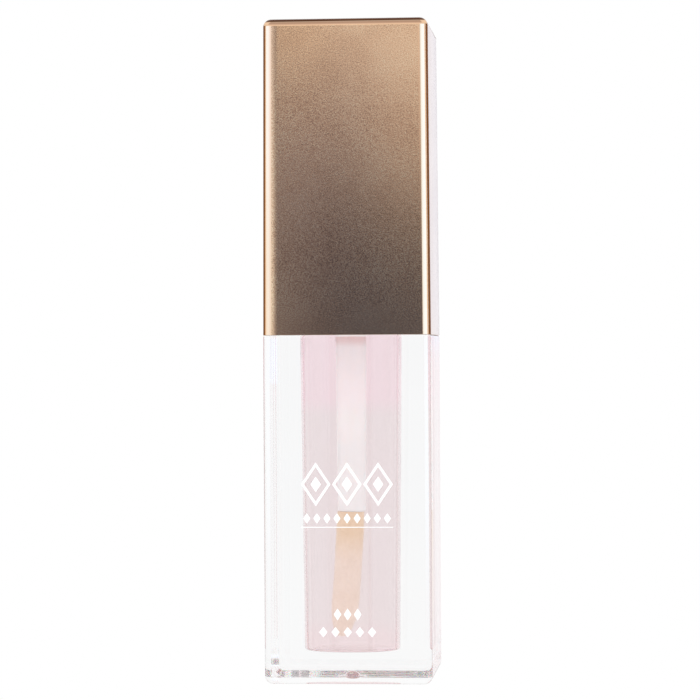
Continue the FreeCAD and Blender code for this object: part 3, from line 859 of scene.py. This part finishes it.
def make_world():
    """An even white room. What the metal mirrors of it is a soft-box room:
    dark near the horizon in front, bright above and at the sides."""
    w = bpy.data.worlds.new("studio")
    bpy.context.scene.world = w
    w.use_nodes = True
    nt = w.node_tree
    bg = nt.nodes["Background"]
    sep = nt.nodes.new("ShaderNodeSeparateXYZ")
    nt.links.new(nt.nodes.new("ShaderNodeTexCoord").outputs["Generated"], sep.inputs[0])
    x, y, z = sep.outputs
    el = math_node(nt, "MULTIPLY", math_node(nt, "ARCSINE", z), 180 / math.pi)
    az = math_node(nt, "MULTIPLY", math_node(nt, "ARCTAN2", x, math_node(nt, "MULTIPLY", y, -1.0)), 180 / math.pi)
    aabs = math_node(nt, "ABSOLUTE", az)

    def pick(mask, a, b, kind="RGBA"):
        nd = nt.nodes.new("ShaderNodeMix")
        nd.data_type = kind
        ins = [i for i in nd.inputs if i.type == kind or (kind == "FLOAT" and i.type == "VALUE")]
        if kind == "FLOAT":
            ins = [nd.inputs[2], nd.inputs[3]]
        if isinstance(mask, (int, float)):
            nd.inputs[0].default_value = mask
        else:
            nt.links.new(mask, nd.inputs[0])
        for v, sck in ((a, ins[0]), (b, ins[1])):
            if isinstance(v, tuple):
                sck.default_value = (*v, 1.0)
            elif isinstance(v, (int, float)):
                sck.default_value = v
            else:
                nt.links.new(v, sck)
        return [o for o in nd.outputs if o.type == kind or (kind == "FLOAT" and o.type == "VALUE")][0]

    def scale(col, f):
        nd = nt.nodes.new("ShaderNodeVectorMath")
        nd.operation = "SCALE"
        nt.links.new(col, nd.inputs[0])
        if isinstance(f, (int, float)):
            nd.inputs["Scale"].default_value = f
        else:
            nt.links.new(f, nd.inputs["Scale"])
        return nd.outputs[0]

    fac = math_node(nt, "DIVIDE", math_node(nt, "ADD", el, 8.0), 38.0, clamp=True)
    cols = {}
    for key, rows in FRONT.items():
        cols[key] = ramp(nt, fac, [((e + 8) / 38.0, v) for e, v in rows])
    front = pick(smooth(nt, az, FRONT_AZ[0], FRONT_AZ[1]), cols["left"], cols["mid"])
    front = pick(smooth(nt, az, FRONT_AZ[2], FRONT_AZ[3]), front, cols["right"])
    # level with the cap: soft boxes at both sides, a dark tan card behind
    turn = math_node(nt, "DIVIDE", math_node(nt, "SUBTRACT", math_node(nt, "MULTIPLY", az, -1.0), 8.0), 72.0, clamp=True)

    def at(az_deg):
        return (az_deg - 8.0) / 72.0

    low = ramp(nt, turn, [(at(10.6), (0.21, 0.21, 0.24)), (at(12.8), (0.38, 0.36, 0.38)), (at(15.0), (0.86, 0.90, 0.93)), (at(20.7), (0.93, 1.02, 1.09)),
                          (at(44.0), (1.02, 1.24, 1.56)), (at(57.0), (1.04, 1.29, 1.60)), (at(75.0), (1.02, 1.18, 1.34))])
    high = ramp(nt, turn, [(at(10.6), (0.32, 0.32, 0.35)), (at(12.8), (0.46, 0.44, 0.45)), (at(15.0), (0.74, 0.74, 0.80)), (at(20.7), (0.92, 1.00, 1.14)),
                           (at(32.0), (1.02, 1.15, 1.45)), (at(44.0), (1.06, 1.36, 1.85)), (at(57.0), (1.08, 1.48, 2.10)), (at(75.0), (1.08, 1.50, 2.10))])
    left = pick(smooth(nt, el, 1.5, 5.0), low, high)
    metal = pick(smooth(nt, az, -8.8, -10.8), front, left)
    right = ramp(nt, math_node(nt, "DIVIDE", math_node(nt, "SUBTRACT", az, 24.0), 60.0, clamp=True),
                 [(0.0, (0.50, 0.52, 0.55)), (0.10, (0.80, 0.95, 1.10)), (0.25, (1.06, 1.45, 1.95)), (0.6, (1.08, 1.55, 2.20))])
    metal = pick(smooth(nt, az, 24.0, 29.0), metal, right)
    dim = smooth(nt, math_node(nt, "ABSOLUTE", math_node(nt, "SUBTRACT", aabs, 92.0)), 6.0, 9.0, 1.0, 0.0)
    metal = pick(dim, metal, (0.85, 0.74, 0.62))
    card = math_node(nt, "ADD", smooth(nt, az, -96.0, -102.0), smooth(nt, az, 99.0, 105.0), clamp=True)
    metal = pick(card, metal, (0.21, 0.115, 0.060))
    # over and under that band: a plain soft room
    over = ramp(nt, math_node(nt, "DIVIDE", el, 90.0, clamp=True), [(0.0, (0.7, 0.68, 0.65)), (0.35, (0.95, 0.93, 0.90)), (0.7, (0.86, 0.86, 0.88)), (1.0, (0.70, 0.66, 0.64))])
    under = ramp(nt, math_node(nt, "DIVIDE", math_node(nt, "MULTIPLY", el, -1.0), 90.0, clamp=True), [(0.0, (0.30, 0.28, 0.26)), (0.15, (0.42, 0.40, 0.38)), (0.6, (0.75, 0.73, 0.70)), (1.0, (0.9, 0.9, 0.88))])
    ahead = ramp(nt, math_node(nt, "DIVIDE", el, 90.0, clamp=True), [(0.14, (1.02, 0.97, 0.93)), (0.30, (0.74, 0.69, 0.70)), (0.50, (0.50, 0.44, 0.44)), (0.72, (0.50, 0.45, 0.46)), (0.92, (0.75, 0.85, 0.95))])
    over = pick(smooth(nt, aabs, 70.0, 50.0), over, ahead)
    metal = pick(smooth(nt, el, 11.0, 15.0), metal, over)
    metal = pick(smooth(nt, el, -2.0, -6.0), metal, under)
    window = smooth(nt, math_node(nt, "ABSOLUTE", math_node(nt, "SUBTRACT", az, 177.0)), 5.0, 9.0, 1.0, 0.0)
    window = math_node(nt, "MULTIPLY", window, smooth(nt, math_node(nt, "ABSOLUTE", el), 9.0, 14.0, 1.0, 0.0))
    metal = pick(window, metal, pick(smooth(nt, el, -0.3, 0.5), (0.98, 0.95, 0.96), (0.95, 0.98, 1.08)))
    glass = pick(0.86, metal, (1.03, 1.02, 1.03))
    lp = nt.nodes.new("ShaderNodeLightPath")
    diff = math_node(nt, "GREATER_THAN", lp.outputs["Diffuse Depth"], 0.5)
    glossy = math_node(nt, "GREATER_THAN", lp.outputs["Glossy Depth"], 0.5)
    trans = math_node(nt, "GREATER_THAN", lp.outputs["Transmission Depth"], 0.5)
    g = pick(trans, metal, glass)
    level = pick(glossy, (1.0, 1.0, 1.0), g)
    level = pick(diff, level, pick(trans, (0.93, 0.93, 0.93), (1.19, 1.19, 1.19)))
    nt.links.new(level, bg.inputs["Color"])
    bg.inputs["Strength"].default_value = 1.0
    w.cycles.sampling_method = "NONE"


FRONT_AZ = (-8.6, -5.2, -5.0, -1.8)
make_world()
bpy.context.scene.view_settings.view_transform = "Standard"
bpy.context.scene.view_settings.look = "None"
cyc = bpy.context.scene.cycles
cyc.max_bounces, cyc.glossy_bounces, cyc.transmission_bounces = 32, 20, 32


# --------------------------------------------------------------------- camera
def make_camera():
    from mathutils import Matrix, Vector
    dist, az, zc, roll = 0.360, math.radians(4.98), 0.03973, math.radians(-0.33)
    f_px, cx = 2950.0, 353.4
    cam = bpy.data.cameras.new("camera")
    cam.sensor_width = 36.0
    cam.lens = f_px / 700.0 * 36.0
    cam.clip_start = 0.01
    cam.clip_end = 20.0
    ob = bpy.data.objects.new("camera", cam)
    bpy.context.scene.collection.objects.link(ob)
    pos = Vector((dist * math.sin(az), -dist * math.cos(az), zc))
    fw = Vector((-math.sin(az), math.cos(az), 0))
    yaw = (cx - 350.0) / f_px
    fw = Matrix.Rotation(yaw, 3, "Z") @ fw
    up = Matrix.Rotation(-roll, 3, fw) @ Vector((0, 0, 1))
    rt = fw.cross(up).normalized()
    up = rt.cross(fw).normalized()
    ob.matrix_world = Matrix.Translation(pos) @ Matrix((rt, up, -fw)).transposed().to_4x4()
    bpy.context.scene.camera = ob


make_camera()
